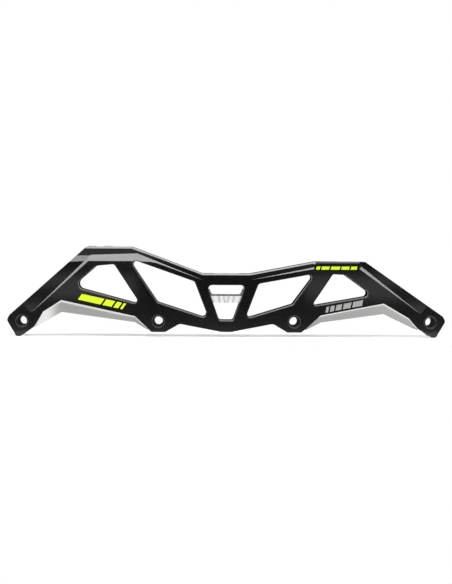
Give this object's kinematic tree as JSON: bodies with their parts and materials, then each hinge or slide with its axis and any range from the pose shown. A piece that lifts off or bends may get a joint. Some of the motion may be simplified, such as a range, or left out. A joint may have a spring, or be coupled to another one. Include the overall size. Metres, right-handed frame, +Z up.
{
  "type": "inline skate frame",
  "caption": "Inline skate frame with two windowed black side walls, bare metal decks, bridge and braces between them, axle bores and slotted decks for a boot.",
  "frame": {"origin": "on the floor under the middle of the frame, halfway between the end axles and between the walls", "axes": "+X along the frame to the toe, +Y to the left wall, +Z up"},
  "size_m": [0.3592, 0.036, 0.0742],
  "materials": {
    "black_anodised": "black satin anodised, milled",
    "bare_aluminium": "bare, milled",
    "bush_steel": "turned, dark",
    "screw_steel": "plain steel"
  },
  "bodies": {
    "root": {"right_wall": "black_anodised", "left_wall": "black_anodised", "heel_deck": "bare_aluminium", "toe_deck": "bare_aluminium", "centre_bridge": "bare_aluminium", "right_rear_brace": "bare_aluminium", "right_front_brace": "bare_aluminium", "left_rear_brace": "bare_aluminium", "left_front_brace": "bare_aluminium", "right_crossbar": "bare_aluminium", "left_crossbar": "bare_aluminium", "axle_bush_1": "bush_steel", "axle_bush_2": "bush_steel", "axle_bush_3": "bush_steel", "axle_bush_4": "bush_steel", "axle_insert_1": "bush_steel", "axle_insert_2": "bush_steel", "axle_insert_3": "bush_steel", "axle_insert_4": "bush_steel", "heel_deck_screws": "screw_steel", "toe_deck_screws": "screw_steel", "bridge_screws": "screw_steel", "heel_deck_dowels": "screw_steel", "toe_deck_dowels": "screw_steel", "bridge_dowels": "screw_steel", "right_rear_brace_screws": "screw_steel", "right_front_brace_screws": "screw_steel", "left_rear_brace_screws": "screw_steel", "left_front_brace_screws": "screw_steel", "right_crossbar_screws": "screw_steel", "left_crossbar_screws": "screw_steel"}
  },
  "joints": []
}
